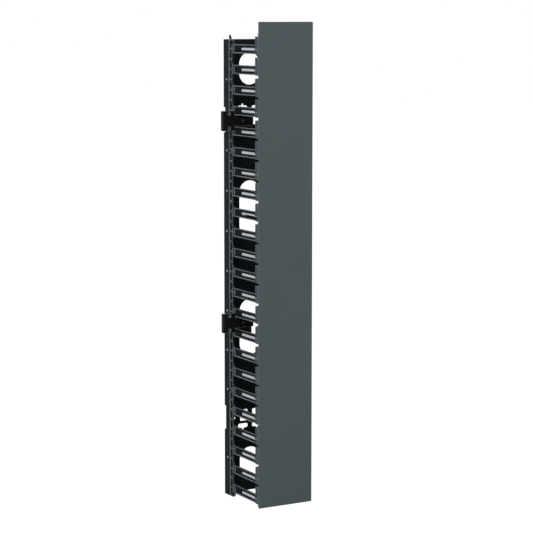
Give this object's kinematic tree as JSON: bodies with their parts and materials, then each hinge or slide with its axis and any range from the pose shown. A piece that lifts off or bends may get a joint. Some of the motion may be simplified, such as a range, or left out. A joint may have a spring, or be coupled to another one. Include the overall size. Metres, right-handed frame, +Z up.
{
  "type": "vertical cable manager",
  "caption": "Tall channel for rack cabling with slotted finger sides, side brackets and a flat door that opens to either side.",
  "frame": {"origin": "on the rear face of the back pan, at mid width and at the bottom end", "axes": "+Z up along the manager, door facing -Y, +X to the right of someone who faces the door"},
  "size_m": [0.162, 0.162, 1.0559],
  "materials": {
    "pan_paint": "satin powder coat",
    "panel_plastic": "moulded satin",
    "rivet_aluminium": "satin",
    "bracket_paint": "satin powder coat",
    "zinc_steel": "zinc plated",
    "door_paint": "fine texture powder coat",
    "lug_paint": "satin powder coat",
    "rod_steel": "drawn"
  },
  "bodies": {
    "base": {"back_pan": "pan_paint", "finger_panel_left_lower": "panel_plastic", "finger_panel_left_middle": "panel_plastic", "finger_panel_left_upper": "panel_plastic", "finger_panel_right_lower": "panel_plastic", "finger_panel_right_middle": "panel_plastic", "finger_panel_right_upper": "panel_plastic", "panel_rivets_left": "rivet_aluminium", "panel_rivets_right": "rivet_aluminium", "rack_bracket_upper": "bracket_paint", "rack_bracket_lower": "bracket_paint", "bracket_screws_upper": "zinc_steel", "bracket_screws_lower": "zinc_steel"},
    "left_rod": {"hinge_rod_left": "rod_steel", "push_nuts_left": "zinc_steel"},
    "door": {"door_panel": "door_paint", "door_lugs_left": "lug_paint", "door_lugs_right": "lug_paint", "hinge_rod_right": "rod_steel", "push_nuts_right": "zinc_steel"}
  },
  "joints": [
    {"name": "right_hinge", "type": "hinge", "parent": "base", "child": "left_rod", "pos_m": [0.0618, -0.155, 0.50895], "axis": [0, 0, 1], "range_deg": [0, 105]},
    {"name": "left_hinge", "type": "hinge", "parent": "left_rod", "child": "door", "pos_m": [-0.0618, -0.155, 0.50895], "axis": [0, 0, -1], "range_deg": [0, 105]}
  ]
}
